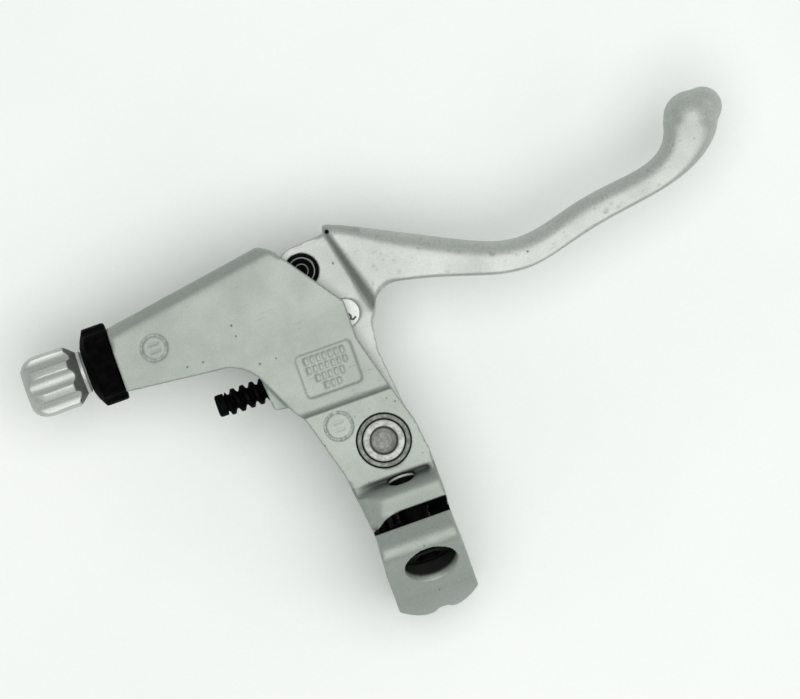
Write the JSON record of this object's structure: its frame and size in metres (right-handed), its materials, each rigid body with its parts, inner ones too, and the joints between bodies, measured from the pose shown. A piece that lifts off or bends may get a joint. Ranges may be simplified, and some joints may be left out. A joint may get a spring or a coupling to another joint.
{
  "type": "bicycle brake lever",
  "caption": "Cast two-finger brake lever with a split handlebar clamp, pivoting blade, swivelling cable hook, threaded cable adjuster with lock nut, and a reach screw.",
  "frame": {"origin": "centre of the handlebar bore in the clamp", "axes": "+X along the handlebar towards the tip of the blade, +Y forward from the handlebar to the lever, +Z parallel to the lever's pivot, towards the side with the clamp bolt"},
  "size_m": [0.1508, 0.082, 0.0385],
  "materials": {
    "cast_aluminium": "fine blasted casting, silver-grey",
    "blade_aluminium": "satin, slightly brighter than the casting",
    "bright_steel": "zinc plated",
    "spring_steel": "drawn wire",
    "black_steel": "black oxide",
    "black_plastic": "moulded",
    "white_nylon": "natural nylon",
    "bronze_bush": "plain"
  },
  "bodies": {
    "frame": {"bracket": "cast_aluminium", "clamp_bolt": "black_steel", "pivot_sleeve_near": "cast_aluminium", "pivot_sleeve_far": "cast_aluminium", "pivot_axle": "bright_steel", "axle_washer": "bright_steel", "axle_clip": "black_steel", "thrust_washer_near": "white_nylon", "thrust_washer_far": "white_nylon", "return_spring": "spring_steel"},
    "lever": {"lever_blade": "blade_aluminium", "lever_bush": "bronze_bush", "guide_plug": "white_nylon", "hook_liner": "black_plastic"},
    "hook": {"cable_hook": "black_plastic"},
    "adjuster_slide": {"adjuster_seat": "bronze_bush"},
    "adjuster": {"adjuster_barrel": "blade_aluminium"},
    "nut": {"lock_nut": "black_plastic"},
    "reach_slide": {"reach_tip": "white_nylon"},
    "reach": {"reach_screw": "black_plastic"}
  },
  "joints": [
    {"name": "lever_pull", "type": "hinge", "parent": "frame", "child": "lever", "pos_m": [0, 0.0212, 0.0064], "axis": [0, 0, -1], "range_deg": [0, 25], "stiffness_Nm_per_rad": 0.04, "springref_deg": -28.65, "deforming": ["return_spring"]},
    {"name": "hook_swivel", "type": "hinge", "parent": "lever", "child": "hook", "pos_m": [-0.0042, 0.0586, 0.0064], "axis": [0, 0, 1], "range_deg": [0, 25]},
    {"name": "adjuster_turn", "type": "hinge", "parent": "adjuster_slide", "child": "adjuster", "pos_m": [-0.058, 0.0542, 0.0064], "axis": [1, 0, 0], "range_deg": [0, 2160]},
    {"name": "adjuster_advance", "type": "slide", "parent": "frame", "child": "adjuster_slide", "axis": [-1, 0, 0], "range_m": [0, 0.006]},
    {"name": "lock_nut_turn", "type": "hinge", "parent": "frame", "child": "nut", "pos_m": [-0.048, 0.0542, 0.0064], "axis": [1, 0, 0], "continuous": true},
    {"name": "reach_turn", "type": "hinge", "parent": "reach_slide", "child": "reach", "pos_m": [-0.018, 0.0386, 0.0064], "axis": [1, 0, 0], "range_deg": [0, 720]},
    {"name": "reach_advance", "type": "slide", "parent": "frame", "child": "reach_slide", "axis": [-1, 0, 0], "range_m": [0, 0.004]}
  ],
  "couplings": [
    {"joint": "hook_swivel", "follows": "lever_pull", "ratio": 1},
    {"joint": "adjuster_advance", "follows": "adjuster_turn", "m_per_rad": 0.00015915},
    {"joint": "reach_advance", "follows": "reach_turn", "m_per_rad": 0.00031831}
  ]
}
